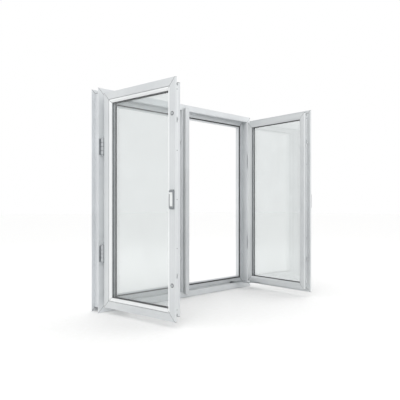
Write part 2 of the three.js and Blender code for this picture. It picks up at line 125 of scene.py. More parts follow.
def newMaterial(name):
    material = bpy.data.materials.new(name)
    material.use_nodes = True
    tree = material.node_tree
    tree.nodes.clear()
    place = addNode(tree, "TexCoord").outputs["Object"]
    return material, tree, place


noiseSpan = {"From Min": 0.3, "From Max": 0.7}  # nearly all of a noise's values lie between these


# Powder-coated aluminium: sprayed and baked, so it has a faint orange-peel texture and a soft, even sheen
def powderCoatedAluminium(name, pale, deep):
    coat = {
        "cloud": 240,  # mm across the slow drift in colour
        "peel": 2.2,  # mm; the real peel is 0.5 to 1, drawn coarser to show
        "peelHeight": 0.2,  # mm
        "fineGrain": 0.7,  # mm
        "paintedCornerShade": [0.62, 0.62, 0.61, 1],  # shares of the colour left in inner corners: painted shade
        "plain": [1, 1, 1, 1],
        "paintedEdgeHighlight": [1.06, 1.06, 1.06, 1],  # and where outer edges get a painted highlight
    }
    material, tree, place = newMaterial(name)
    cloud = addNode(tree, "TexNoise", {}, {"Vector": place, "Scale": 1000 / coat["cloud"], "Detail": 4})
    stops = [(0.35, linearColour(deep)), (0.65, linearColour(pale))]
    sprayed = addNode(tree, "ValToRGB", {"stops": stops}, {"Fac": cloud.outputs["Fac"]})
    # Pointiness paints shade into inner corners and a highlight along outer edges
    bend = addNode(tree, "NewGeometry").outputs["Pointiness"]
    stops = [(0.44, coat["paintedCornerShade"]), (0.49, coat["plain"]), (0.53, coat["plain"]), (0.6, coat["paintedEdgeHighlight"])]
    edges = addNode(tree, "ValToRGB", {"stops": stops}, {"Fac": bend})
    layers = {"Factor": 1.0, "A": sprayed.outputs["Color"], "B": edges.outputs["Color"]}
    paintedEdgeShading = addNode(tree, "Mix", {"data_type": "RGBA", "blend_type": "MULTIPLY"}, layers)
    peel = addNode(tree, "TexNoise", {}, {"Vector": place, "Scale": 1000 / coat["peel"], "Detail": 2})
    grain = addNode(tree, "TexNoise", {}, {"Vector": place, "Scale": 1000 / coat["fineGrain"], "Detail": 1})
    glossSpan = {"Value": grain.outputs["Fac"], **noiseSpan, "To Min": 0.36, "To Max": 0.46}
    gloss = addNode(tree, "MapRange", {}, glossSpan)
    relief = {"Height": peel.outputs["Fac"], "Strength": 0.12, "Distance": coat["peelHeight"] * mm}
    bump = addNode(tree, "Bump", {}, relief)
    finish = {
        "Base Color": paintedEdgeShading.outputs["Result"],
        "Metallic": 0.25,
        "Roughness": gloss.outputs["Result"],
        "Coat Weight": 0.15,
        "Coat Roughness": 0.3,
        "Normal": bump.outputs["Normal"],
    }
    shader = addNode(tree, "BsdfPrincipled", {}, finish)
    addNode(tree, "OutputMaterial", {}, {"Surface": shader.outputs["BSDF"]})
    return material


# Metal with lengthwise grain: brushed, drawn or linished, so its gloss streaks along one direction
def grainedMetal(name, pale, deep, roughness, along):
    grain = {
        "pitch": 0.6,  # mm across the grain; a real grit line is nearer 0.1, too fine to show
        "streak": 60,  # mm along the grain
        "height": 0.1,  # mm
        "smoother": 0.07,
        "rougher": 0.09,
    }
    material, tree, place = newMaterial(name)
    scale = [1000 / grain["pitch"]] * 3
    scale["xyz".index(along)] = 1000 / grain["streak"]
    stretched = addNode(tree, "Mapping", {}, {"Vector": place, "Scale": scale}).outputs["Vector"]
    lines = addNode(tree, "TexNoise", {}, {"Vector": stretched, "Scale": 1, "Detail": 3}).outputs["Fac"]
    stops = [(0.3, linearColour(deep)), (0.7, linearColour(pale))]
    colour = addNode(tree, "ValToRGB", {"stops": stops}, {"Fac": lines})
    low, high = roughness - grain["smoother"], roughness + grain["rougher"]
    gloss = addNode(tree, "MapRange", {}, {"Value": lines, **noiseSpan, "To Min": low, "To Max": high})
    relief = {"Height": lines, "Strength": 0.1, "Distance": grain["height"] * mm}
    bump = addNode(tree, "Bump", {}, relief)
    finish = {
        "Base Color": colour.outputs["Color"],
        "Metallic": 1.0,
        "Roughness": gloss.outputs["Result"],
        "Normal": bump.outputs["Normal"],
    }
    shader = addNode(tree, "BsdfPrincipled", {}, finish)
    addNode(tree, "OutputMaterial", {}, {"Surface": shader.outputs["BSDF"]})
    return material


# EPDM rubber: extruded, so it is matt and dark with a faint bloom on its surface
def epdmRubber():
    extrusion = {"bloom": 9, "skin": 0.8, "skinHeight": 0.2}  # mm
    material, tree, place = newMaterial("epdmRubber")
    bloom = addNode(tree, "TexNoise", {}, {"Vector": place, "Scale": 1000 / extrusion["bloom"], "Detail": 5})
    stops = [(0.35, linearColour("#2b2c2e")), (0.7, linearColour("#3b3d3f"))]
    colour = addNode(tree, "ValToRGB", {"stops": stops}, {"Fac": bloom.outputs["Fac"]})
    skin = addNode(tree, "TexNoise", {}, {"Vector": place, "Scale": 1000 / extrusion["skin"], "Detail": 2})
    relief = {"Height": skin.outputs["Fac"], "Strength": 0.25, "Distance": extrusion["skinHeight"] * mm}
    bump = addNode(tree, "Bump", {}, relief)
    glossSpan = {"Value": bloom.outputs["Fac"], **noiseSpan, "To Min": 0.7, "To Max": 0.85}
    gloss = addNode(tree, "MapRange", {}, glossSpan)
    finish = {
        "Base Color": colour.outputs["Color"],
        "Roughness": gloss.outputs["Result"],
        "Sheen Weight": 0.12,
        "Normal": bump.outputs["Normal"],
    }
    shader = addNode(tree, "BsdfPrincipled", {}, finish)
    addNode(tree, "OutputMaterial", {}, {"Surface": shader.outputs["BSDF"]})
    return material


# Glass-filled nylon: moulded, with the fine spark-eroded texture of its tool
def mouldedNylon():
    moulding = {"cloud": 15, "texture": 0.6, "textureHeight": 0.2}  # mm
    material, tree, place = newMaterial("mouldedNylon")
    cloud = addNode(tree, "TexNoise", {}, {"Vector": place, "Scale": 1000 / moulding["cloud"], "Detail": 4})
    stops = [(0.3, linearColour("#242527")), (0.7, linearColour("#343638"))]
    colour = addNode(tree, "ValToRGB", {"stops": stops}, {"Fac": cloud.outputs["Fac"]})
    dots = addNode(tree, "TexVoronoi", {}, {"Vector": place, "Scale": 1000 / moulding["texture"]})
    relief = {"Height": dots.outputs["Distance"], "Strength": 0.2, "Distance": moulding["textureHeight"] * mm}
    bump = addNode(tree, "Bump", {}, relief)
    glossSpan = {"Value": cloud.outputs["Fac"], **noiseSpan, "To Min": 0.5, "To Max": 0.62}
    gloss = addNode(tree, "MapRange", {}, glossSpan)
    finish = {
        "Base Color": colour.outputs["Color"],
        "Roughness": gloss.outputs["Result"],
        "Normal": bump.outputs["Normal"],
    }
    shader = addNode(tree, "BsdfPrincipled", {}, finish)
    addNode(tree, "OutputMaterial", {}, {"Surface": shader.outputs["BSDF"]})
    return material


# Float glass: poured flat, so it is clear and even, with a faint grey body and a soft unevenness in its gloss
def floatGlass():
    wiped = {"film": 120}  # mm across the patches of a wiped surface
    material, tree, place = newMaterial("floatGlass")
    film = addNode(tree, "TexNoise", {}, {"Vector": place, "Scale": 1000 / wiped["film"], "Detail": 5})
    glossSpan = {"Value": film.outputs["Fac"], **noiseSpan, "To Min": 0.0, "To Max": 0.012}
    gloss = addNode(tree, "MapRange", {}, glossSpan)
    stops = [(0.3, linearColour("#eff1f1")), (0.7, linearColour("#f1f3f3"))]
    colour = addNode(tree, "ValToRGB", {"stops": stops}, {"Fac": film.outputs["Fac"]})
    finish = {
        "Base Color": colour.outputs["Color"],
        "Roughness": gloss.outputs["Result"],
        "IOR": 1.5,
        "Transmission Weight": 1.0,
    }
    shader = addNode(tree, "BsdfPrincipled", {}, finish)
    addNode(tree, "OutputMaterial", {}, {"Surface": shader.outputs["BSDF"]})
    return material


# Painted studio floor: rolled, matt and almost even
def studioFloor():
    material, tree, place = newMaterial("paintedStudioFloor")
    marks = addNode(tree, "TexNoise", {}, {"Vector": place, "Scale": 1000 / studio["roller"], "Detail": 3})
    stops = [(0.3, linearColour(studio["floorShade"])), (0.7, linearColour(studio["floor"]))]
    colour = addNode(tree, "ValToRGB", {"stops": stops}, {"Fac": marks.outputs["Fac"]})
    shader = addNode(tree, "BsdfPrincipled", {}, {"Base Color": colour.outputs["Color"], "Roughness": 0.9})
    addNode(tree, "OutputMaterial", {}, {"Surface": shader.outputs["BSDF"]})
    return material


coatedFrame = powderCoatedAluminium("powderCoatedFrame", "#dadddf", "#d2d5d7")
coatedSash = powderCoatedAluminium("powderCoatedSash", "#d0d3d4", "#c7cacc")
coatedBead = powderCoatedAluminium("powderCoatedBead", "#eceeee", "#e3e5e6")
coatedLever = powderCoatedAluminium("lacqueredLever", "#eeefee", "#e4e6e6")
# the housing's coat is darkened as painted shade round the lever
coatedHousing = powderCoatedAluminium("lacqueredHousingPaintedShade", "#8f9396", "#84888b")
platedSteel = grainedMetal("satinNickelSteelUpright", "#c2c5c7", "#abafb2", 0.32, "z")
stainlessUpright = grainedMetal("brushedStainlessUpright", "#dfe1e2", "#c9ccce", 0.34, "z")
stainlessAcross = grainedMetal("brushedStainlessAcross", "#e6e8e8", "#d2d5d6", 0.34, "x")
stainlessStay = grainedMetal("pressedStainlessStay", "#a9adb0", "#94989b", 0.36, "x")
screwSteel = grainedMetal("zincPlatedScrew", "#c4c6c6", "#9fa3a5", 0.28, "x")
spacerAluminium = grainedMetal("millFinishSpacer", "#b5b8ba", "#a3a6a8", 0.38, "z")
rubber = epdmRubber()
nylon = mouldedNylon()
glass = floatGlass()
print("materials made")

surface = {
    "sharpAngle": 35,  # degrees; a steeper edge stays crisp
    "easedAngle": 30,  # degrees; a steeper edge is eased
    "flatAngle": 0.5,  # degrees; flatter faces are joined before easing
    "weld": 1e-6,  # m; closer points are one
    "onAxis": 1e-6,  # mm; a turned profile's point nearer than this is on its axis
    "mostRound": 0.45,  # share of an edge that the round at one end may take
}
mitre = {"joint": 2.0, "fit": 0.02}  # mm; width of a corner's sealant, and its clearance


# A part is a list of vertices in mm and a list of faces
def addPiece(name, part, material, body, replaced=(), transform=None):
    mesh = bpy.data.meshes.new(name)
    mesh.from_pydata([tuple(v) for v in part[0]], [], part[1])
    mesh.transform(Matrix.Scale(mm, 4))
    if transform is not None:
        mesh.transform(transform)
    mesh.validate()
    mesh.update()
    piece = bpy.data.objects.new(name, mesh)
    scene.collection.objects.link(piece)
    dressPiece(piece, material, body, replaced)


def dressPiece(piece, material, body, replaced):
    piece.data.materials.clear()
    piece.data.materials.append(material)
    for polygon in piece.data.polygons:
        polygon.material_index = 0
    piece.data.shade_smooth()
    piece.data.set_sharp_from_angle(angle=math.radians(surface["sharpAngle"]))
    weighted = piece.modifiers.new("evenNormals", "WEIGHTED_NORMAL")
    weighted.keep_sharp = True
    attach(piece, body)
    if replaced:
        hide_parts(*replaced)


# A CAD node's shape with its sharp edges eased, as machining, folding or moulding leaves them
def easedNode(node, radius, material, body, segments=2):
    mesh = frame["nodes"][node].data.copy()
    piece = bpy.data.objects.new("eased_" + node, mesh)
    scene.collection.objects.link(piece)
    work = bmesh.new()
    work.from_mesh(mesh)
    bmesh.ops.remove_doubles(work, verts=work.verts, dist=surface["weld"])
    flat = math.radians(surface["flatAngle"])
    bmesh.ops.dissolve_limit(work, angle_limit=flat, verts=work.verts, edges=work.edges)
    work.to_mesh(mesh)
    work.free()
    bevel = piece.modifiers.new("easedEdges", "BEVEL")
    bevel.width = radius * mm
    bevel.segments = segments
    bevel.limit_method = "ANGLE"
    bevel.angle_limit = math.radians(surface["easedAngle"])
    dressPiece(piece, material, body, (node,))


def filleted(points, radius, steps=3):
    # Rounds each corner of a closed outline; a short edge gets a smaller round
    outline = []
    count = len(points)
    for i in range(count):
        before, corner, after = (Vector(points[(i + k) % count]) for k in (-1, 0, 1))
        shorter = min((before - corner).length, (after - corner).length)
        reach = min(radius, shorter * surface["mostRound"])
        start = corner + (before - corner).normalized() * reach
        end = corner + (after - corner).normalized() * reach
        for k in range(steps + 1):
            t = k / steps
            outline.append(start * (1 - t) ** 2 + corner * 2 * t * (1 - t) + end * t**2)
    return outline


def prism(outline, low, high):
    # Side walls and two flat ends between two lists of heights, one height per outline point
    count = len(outline)
    vertices = [(p[0], p[1], low[i]) for i, p in enumerate(outline)]
    vertices += [(p[0], p[1], high[i]) for i, p in enumerate(outline)]
    faces = [(i, (i + 1) % count, count + (i + 1) % count, count + i) for i in range(count)]
    faces += [tuple(reversed(range(count))), tuple(range(count, 2 * count))]
    return vertices, faces


def signedArea(outline):
    nextPoints = outline[1:] + outline[:1]
    return sum(p[0] * q[1] - q[0] * p[1] for p, q in zip(outline, nextPoints))


# Four bars with mitred ends round a rectangle, or only the sealant in their corners;
# the outline is drawn as inward and back from the face
def mitredBars(outline, x0, x1, z0, z1, faceY, joint=mitre["joint"], sealant=False):
    if signedArea(outline) < 0:
        outline = list(reversed(outline))
    left, right = min(x0, x1), max(x0, x1)
    places = {
        "left": (0, z1 - z0, left, (z0 + z1) / 2),
        "bottom": (-90, right - left, (left + right) / 2, z0),
        "right": (180, z1 - z0, right, (z0 + z1) / 2),
        "top": (90, right - left, (left + right) / 2, z1),
    }
    bars = {}
    for edge, (turn, length, x, z) in places.items():
        high = [length / 2 - p[0] - joint / 2 for p in outline]
        low = [-h for h in high]
        if sealant:
            low = [h + mitre["fit"] for h in high]
            high = [min(h + joint, length / 2) - mitre["fit"] for h in high]
        place = Matrix.Translation((x, faceY, z)) @ Matrix.Rotation(math.radians(turn), 4, "Y")
        bars[edge] = moved(prism(outline, low, high), place)
    return bars


def merged(parts):
    vertices, faces = [], []
    for partVertices, partFaces in parts:
        start = len(vertices)
        vertices += list(partVertices)
        faces += [tuple(i + start for i in face) for face in partFaces]
    return vertices, faces


def lathe(profile, sidesRound):
    # profile runs from the bottom of the axis to its top, as radius and height
    vertices, faces, rings = [], [], []
    for radius, height in profile:
        onAxis = radius < surface["onAxis"]
        count = 1 if onAxis else sidesRound
        rings.append(list(range(len(vertices), len(vertices) + count)))
        for k in range(count):
            a = 2 * math.pi * k / sidesRound
            reach = 0 if onAxis else radius
            vertices.append((reach * math.cos(a), reach * math.sin(a), height))
    for lower, upper in zip(rings, rings[1:]):
        for k in range(sidesRound):
            n = (k + 1) % sidesRound
            if len(lower) == 1:
                faces.append((lower[0], upper[n], upper[k]))
            elif len(upper) == 1:
                faces.append((lower[k], lower[n], upper[0]))
            else:
                faces.append((lower[k], lower[n], upper[n], upper[k]))
    return vertices, faces


def moved(part, matrix):
    return [matrix @ Vector(v) for v in part[0]], part[1]


def boxPart(x0, x1, y0, y1, z0, z1, radius=0.6):
    (left, right), (front, back) = sorted((x0, x1)), sorted((y0, y1))
    outline = filleted([(left, front), (right, front), (right, back), (left, back)], radius)
    return prism(outline, [z0] * len(outline), [z1] * len(outline))


screwShape = {
    "radius": 3.2,
    "dome": [(0, 0.35), (0.35, 0.37), (0.8, 0.3), (1, 0.08)],  # share of the radius, and mm proud
    "depth": 0.5,
    "cross": (0.5, 0.1),  # half length and half width of an arm, as shares of the radius
    "crossHeight": (0.3, 0.42),
    "sides": 28,
}


# Countersunk screw heads, each a shallow dome with a cross recess, whose shade is painted as a dark cross
def addScrews(name, places, outward, body, transform=None):
    radius, depth = screwShape["radius"], screwShape["depth"]
    profile = [(0, -depth), (radius, -depth)]
    profile += [(radius * share, proud) for share, proud in reversed(screwShape["dome"])]
    halfLength, halfWidth = (radius * share for share in screwShape["cross"])
    turnOut = Vector((0, 0, 1)).rotation_difference(Vector(outward)).to_matrix().to_4x4()
    heads, crosses = [], []
    for spot in places:
        place = Matrix.Translation(spot) @ turnOut
        heads.append(moved(lathe(profile, screwShape["sides"]), place))
        for turn in (45, 135):
            arm = boxPart(-halfLength, halfLength, -halfWidth, halfWidth, *screwShape["crossHeight"], 0.1)
            crosses.append(moved(arm, place @ Matrix.Rotation(math.radians(turn), 4, "Z")))
    addPiece(name, merged(heads), screwSteel, body, (), transform)
    # painted shade of the recesses: dark crosses in the rubber material lie on each dome
    addPiece(name + "_recess_painted_shade", merged(crosses), rubber, body, (), transform)


outerFrame = {
    "width": millimetres(cadBox[1][0] - cadBox[0][0]),
    "height": millimetres(cadBox[1][2] - cadBox[0][2]),
    "depth": millimetres(cadBox[1][1]),
    "face": 37,
    "rebateDepth": 45,
    "rearStop": 76,
    "flange": 4,
    "channel": 20,
    "edgeRound": 1.0,
    "stepDepth": 1.2,  # shallow shadow line along the rebate floor
    "stepAt": 26,
}
sealShape = {"inset": 62, "width": 8, "front": 39.4, "back": 44.4, "round": 1.2, "mullionGap": 6}
mullion = {
    "width": 56,
    "rearWidth": 134,
    "capWidth": 30,
    "capProud": 22,
    "capMargin": 19,
    "capRound": 3.2,
    "capFlat": 0.98,  # share of the round's height that the cap's edge has
    "capGap": 0.3,
    "capSides": 24,
    "edgeRound": 1.0,
    "overlap": 6,  # how far a shut sash laps over the mullion
}


def frameOutline():
    f = outerFrame
    back = f["depth"]
    points = [
        (0, 0),
        (f["face"], 0),
        (f["face"], f["stepAt"]),
        (f["face"] - f["stepDepth"], f["stepAt"] + f["stepDepth"]),
        (f["face"] - f["stepDepth"], f["rebateDepth"]),
        (f["rearStop"], f["rebateDepth"]),
        (f["rearStop"], back),
        (0, back),
        (0, back - f["flange"]),
        (f["channel"], back - f["flange"]),
        (f["channel"], f["flange"]),
        (0, f["flange"]),
    ]
    return filleted(points, f["edgeRound"])


def buildFrame():
    half = outerFrame["width"] / 2
    extent = (-half, half, 0, outerFrame["height"], 0)
    nodeNames = {
        "left": "frame_jamb_left",
        "bottom": "frame_sill",
        "right": "frame_jamb_right",
        "top": "frame_head",
    }
    for edge, part in mitredBars(frameOutline(), *extent).items():
        node = nodeNames[edge]
        addPiece("coated_" + node, part, coatedFrame, "frame", (node,))
    sealant = mitredBars(frameOutline(), *extent, sealant=True)
    addPiece("mitre_sealant_frame", merged(sealant.values()), rubber, "frame")
    easedNode("mullion_post", mullion["edgeRound"], coatedFrame, "frame", 3)
    buildMullionCap()
    for side, direction in sides.items():
        buildSeal(side, direction)


# A bulb on a ribbed foot, which a shut sash closes against
def buildSeal(side, direction):
    width, front, back = sealShape["width"], sealShape["front"], sealShape["back"]
    middle = (front + back) / 2
    bulb = [
        (0.2, back),
        (0.2, back - 1.2),
        (1.2, back - 1.8),
        (0.8, middle),
        (width * 0.35, front),
        (width * 0.75, front + 0.2),
        (width - 0.2, middle + 0.3),
        (width * 0.8, back - 1.6),
        (width - 0.2, back - 1.2),
        (width - 0.2, back),
    ]
    outer = direction * -(outerFrame["width"] / 2 - sealShape["inset"])
    inner = direction * -(mullion["rearWidth"] / 2 - width - sealShape["mullionGap"])
    low = sealShape["inset"]
    high = outerFrame["height"] - low
    bars = mitredBars(filleted(bulb, sealShape["round"], 4), outer, inner, low, high, 0, 0)
    node = "frame_seal_" + side
    addPiece("bulb_seal_" + side, merged(bars.values()), rubber, "frame", (node,))


def buildMullionCap():
    m = mullion
    half, steps = m["capWidth"] / 2, m["capSides"]
    low, high = m["capMargin"] + half, outerFrame["height"] - m["capMargin"] - half
    shoulder = -(m["capProud"] - m["capRound"])
    # A stack of shrinking round-ended outlines gives the cap its rounded edge
    layers = [(0, -m["capGap"]), (0, shoulder)]
    for degrees in range(15, 91, 15):
        a = math.radians(degrees)
        rise = m["capRound"] * math.sin(a) * m["capFlat"]
        layers.append((m["capRound"] * (1 - math.cos(a)), shoulder - rise))
    count = 2 * (steps + 1)
    vertices, faces = [], []
    for shrink, y in layers:
        for k in range(count):
            upper = k <= steps
            a = math.pi * (k if upper else k - 1) / steps
            centre = high if upper else low
            vertices.append(((half - shrink) * math.cos(a), y, centre + (half - shrink) * math.sin(a)))
    for layer in range(len(layers) - 1):
        a, b = layer * count, (layer + 1) * count
        for k in range(count):
            n = (k + 1) % count
            faces.append((b + k, b + n, a + n, a + k))
    faces.append(tuple(range(count)))
    faces.append(tuple(reversed(range((len(layers) - 1) * count, len(layers) * count))))
    addPiece("mullion_cover", (vertices, faces), coatedFrame, "frame", ("mullion_cap",))


sashShape = {
    "inset": 31,
    "proud": 12,  # from the frame's room face to the sash's
    "lip": 18,
    "lipThickness": 11.5,
    "body": 20,
    "leg": 18,
    "legThickness": 7,
    "depth": 50,
    "groove": (22, 34, 6.5),  # front, back, depth
    "edgeRound": 1.1,
    "outerSlope": (11, 4.5),  # width and fall of the sloped step beside the glass, outside
}
hingeAxis = [millimetres(abs(v)) for v in hinges["left"]["pos_m"][:2]]
lipOutset = hingeAxis[0] - (outerFrame["width"] / 2 - sashShape["inset"])  # from the pin's axis to the lip
sashFace = hingeAxis[1] - sashShape["proud"]  # from the pin's axis back to the sash's room face
beadShape = {
    "setback": 1.5,
    "flat": 9,
    "step": 1.2,
    "slope": 7.5,
    "depth": 13,
    "edgeRound": 1.0,
    "joint": 1.8,
}
glassShape = {
    "cover": 14,  # how far the unit reaches past the sight line
    "pane": 4,
    "front": 16,
    "back": 40,
    "sealantInset": 0.4,
    "sealant": 4,
    "spacerInset": 4.5,
    "spacer": 6.6,
    "edgeRound": 0.5,
    "fit": 0.05,
}
gasketShape = {
    "thickness": 2.4,
    "lipProud": 1.3,
    "lipThickness": 0.9,
    "gap": 0.3,
    "edgeGap": 0.6,
    "edgeRound": 0.5,
}


def sashMatrix(side):
    hinge = hinges[side]["pos_m"]
    turn = Matrix.Rotation(-sides[side] * openAngle, 4, "Z")
    return Matrix.Translation((hinge[0], hinge[1], 0)) @ turn


def sashOutline():
    s = sashShape
    bodyEdge = s["lip"] + s["body"]
    sight = bodyEdge + s["leg"]
    front, back, deep = s["groove"]
    slopeWidth, slopeFall = s["outerSlope"]
    points = [
        (0, 0),
        (bodyEdge, 0),
        (bodyEdge, s["depth"] - s["legThickness"]),
        (sight, s["depth"] - s["legThickness"]),
        (sight, s["depth"] - slopeFall),
        (sight - slopeWidth, s["depth"]),
        (s["lip"], s["depth"]),
        (s["lip"], back),
        (s["lip"] + deep, back),
        (s["lip"] + deep, front),
        (s["lip"], front),
        (s["lip"], s["lipThickness"]),
        (0, s["lipThickness"]),
    ]
    return filleted(points, s["edgeRound"])


def beadOutline():
    s, b = sashShape, beadShape
    edge = s["lip"] + s["body"]
    sight = edge + s["leg"]
    points = [
        (edge + b["joint"], b["setback"]),
        (edge + b["flat"], b["setback"]),
        (edge + b["flat"] + b["step"], b["setback"] + b["step"]),
        (sight, b["setback"] + b["slope"]),
        (sight, b["depth"]),
        (edge + b["joint"], b["depth"]),
    ]
    return filleted(points, b["edgeRound"])


def sashExtent(direction):
    meeting = mullion["width"] / 2 - mullion["overlap"]
    freeEdge = lipOutset + outerFrame["width"] / 2 - sashShape["inset"] - meeting
    return direction * lipOutset, direction * freeEdge


def inwardBy(extent, direction, amount):
    x0, x1, z0, z1 = extent
    return x0 + direction * amount, x1 - direction * amount, z0 + amount, z1 - amount


# Two panes held apart by a metal spacer and sealed round the edge, between two rubber wedges
def buildGlazing(side, direction, place, extent):
    s, g, r = sashShape, glassShape, gasketShape
    body = "sash_" + side
    face = sashFace
    bodyEdge = s["lip"] + s["body"]
    sight = bodyEdge + s["leg"]
    unit = inwardBy(extent, direction, sight - g["cover"])
    x0, x1, z0, z1 = unit
    panes = []
    for front in (g["front"], g["back"] - g["pane"]):
        near, far = face + front, face + front + g["pane"]
        outline = [(x0, near), (x1, near), (x1, far), (x0, far)]
        if signedArea(outline) < 0:
            outline.reverse()
        outline = filleted(outline, g["edgeRound"], 2)
        panes.append(prism(outline, [z0] * len(outline), [z1] * len(outline)))
    addPiece("glass_panes_" + side, merged(panes), glass, body, ("glass_" + side,), place)
    near, far = g["front"] + g["pane"] + g["fit"], g["back"] - g["pane"] - g["fit"]
    for name, start, width, material, slotName in (
        ("glass_sealant_", g["sealantInset"], g["sealant"], rubber, "gasket_rubber"),
        ("glass_spacer_", g["spacerInset"], g["spacer"], spacerAluminium, "glass"),
    ):
        end = start + width
        outline = filleted([(start, near), (end, near), (end, far), (start, far)], g["edgeRound"])
        bars = mitredBars(outline, *unit, face, 0)
        addPiece(name + side, merged(bars.values()), material, body, (), place)
    wedges = []
    reach = s["leg"] - r["edgeGap"]
    roomSide = g["front"] - r["gap"]
    outside = g["back"] + r["gap"]
    for near, far in ((roomSide - r["thickness"], roomSide), (outside + r["thickness"], outside)):
        lip = far - math.copysign(r["lipThickness"], far - near)
        nose = reach + r["lipProud"]
        wedge = [(0, near), (reach - r["edgeGap"], near), (nose, lip), (nose, far), (0, far)]
        ring = inwardBy(extent, direction, bodyEdge + r["edgeGap"])
        wedges += mitredBars(filleted(wedge, r["edgeRound"]), *ring, face, 0).values()
    node = "glazing_gasket_" + side
    addPiece("glazing_rubber_" + side, merged(wedges), rubber, body, (node,), place)


def buildSash(side, direction):
    s = sashShape
    body = "sash_" + side
    place = sashMatrix(side)
    extent = (*sashExtent(direction), s["inset"], outerFrame["height"] - s["inset"])
    hingeEdge, lockEdge = ("left", "right") if direction > 0 else ("right", "left")
    nodeEnds = {hingeEdge: "hinge_side", lockEdge: "lock_side", "bottom": "bottom", "top": "top"}
    for kind, outline, material in (
        ("sash", sashOutline(), coatedSash),
        ("bead", beadOutline(), coatedBead),
    ):
        for edge, part in mitredBars(outline, *extent, sashFace).items():
            node = f"{kind}_{nodeEnds[edge]}_{side}"
            addPiece("coated_" + node, part, material, body, (node,), place)
        sealant = mitredBars(outline, *extent, sashFace, sealant=True)
        name = f"mitre_sealant_{kind}_{side}"
        addPiece(name, merged(sealant.values()), rubber, body, (), place)
    buildGlazing(side, direction, place, extent)


hingeShape = {
    "radius": 10,
    "boreRadius": 4.4,
    "pinRadius": 4,
    "finial": 8,
    "knuckles": 4,
    "plate": 2,
    "frameLeaf": 24,
    "leafOverlap": 1,
    "bridge": 4,
    "rootRadius": 5,  # where the bridges start inside a knuckle
    "gap": 0.3,
    "chamfer": 1.2,
    "joint": 1.2,
    "plateRound": 0.7,
    "capRise": 0.2,
    "collar": [(0.96, 0), (1, 0.4), (1, 1.8), (0.9, 2.3), (0.84, 2.5)],  # share of the radius, mm up
    "sides": 56,
}


def knucklePart(low, high):
    h = hingeShape
    r, c, bore = h["radius"], h["chamfer"], h["boreRadius"]
    soft = c * 0.3
    profile = [(bore, low), (r - c, low), (r - soft, low + soft), (r, low + c)]
    profile += [(r, high - c), (r - soft, high - soft), (r - c, high), (bore, high)]
    vertices, faces = lathe(profile, h["sides"])
    count = h["sides"]
    last = (len(profile) - 1) * count
    faces += [(k, last + k, last + (k + 1) % count, (k + 1) % count) for k in range(count)]
    return vertices, faces


def hingePin(shoulder, tip):
    r = hingeShape["radius"]
    cap = [(r * share, shoulder + rise) for share, rise in hingeShape["collar"]]
    domeRadius, domeFoot = cap[-1]
    for k in range(1, 9):
        a = math.radians(90 * k / 8)
        cap.append((domeRadius * math.cos(a), domeFoot + (tip - domeFoot) * math.sin(a)))
    lower = [(radius, -height) for radius, height in reversed(cap)]
    pin = hingeShape["pinRadius"]
    return lathe(lower + [(pin, -shoulder), (pin, shoulder)] + cap, hingeShape["sides"])


# Butt hinges: the sash's leaf stands on the lip's outer edge, and the frame's lies on the room flange
def buildHinges(side, direction):
    h = hingeShape
    place = sashMatrix(side)
    axis = Vector((place.translation.x / mm, place.translation.y / mm, 0))
    foot = -axis.y - h["gap"]
    plateX = (direction * (lipOutset - h["gap"] - h["plate"]), direction * (lipOutset - h["gap"]))
    leafStart = h["radius"] - h["leafOverlap"]
    leafX = (direction * leafStart, direction * (leafStart - h["frameLeaf"]))
    lipY = (sashFace, sashFace + sashShape["lipThickness"])
    neckY = (sashFace, sashFace + h["bridge"])
    width = h["bridge"] / 2
    for level in ("upper", "lower"):
        ending = f"{side}_{level}"
        low, high = (millimetres(corner[2]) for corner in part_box("hinge_pin_" + ending))
        z, tip = (low + high) / 2, (high - low) / 2
        top, bottom = high - h["finial"], low + h["finial"]
        step = (top - bottom) / h["knuckles"]
        sashParts = [boxPart(*plateX, *lipY, bottom, top, h["plateRound"])]
        frameParts = [boxPart(*leafX, foot - h["plate"], foot, bottom, top, h["plateRound"])]
        for k in range(h["knuckles"]):
            high = top - k * step - h["joint"] / 2
            low = high - step + h["joint"]
            if k % 2 == 0:
                reach = (direction * h["rootRadius"], plateX[1])
                sashParts += [knucklePart(low, high), boxPart(*reach, *neckY, low, high)]
            else:
                bridge = boxPart(-width, width, h["rootRadius"], foot, low, high)
                frameParts += [knucklePart(low, high), bridge]
        still = Matrix.Translation(axis * mm)
        middle = Matrix.Translation((axis + Vector((0, 0, z))) * mm)
        pin = hingePin(tip - h["finial"] + h["capRise"], tip)
        for name, node, part, body, transform in (
            ("sash_leaf_", "hinge_sash_leaf_", merged(sashParts), "sash_" + side, place),
            ("frame_leaf_", "hinge_frame_leaf_", merged(frameParts), "frame", still),
            ("turned_hinge_pin_", "hinge_pin_", pin, "frame", middle),
        ):
            addPiece(name + ending, part, platedSteel, body, (node + ending,), transform)


lockShape = {
    "headFromMiddle": 400,
    "headFromEdge": 19,
    "headRadius": 7,
    "headProud": 3,
    "washerRadius": 9.8,
    "washerProud": 0.8,
    "headWall": 0.3,  # shares of the head's height: its upright wall, and the foot of its dome
    "domeFoot": 0.35,
    "domeRadius": 0.96,  # share of the head's radius
    "washerWall": 0.5,
    "washerChamfer": 0.4,
    "sunk": 0.2,
    "sides": 40,
    "housingRound": 1.6,
    "leverRound": 0.9,
    "rodRound": 0.4,
    "plateRound": 0.35,
    "keeperRound": 0.5,
    "screwPitch": 230,
    "screwSteps": (-2.25, -1, 0, 1, 2.25),
    "plateGap": 0.3,
    "plate": 2,
}


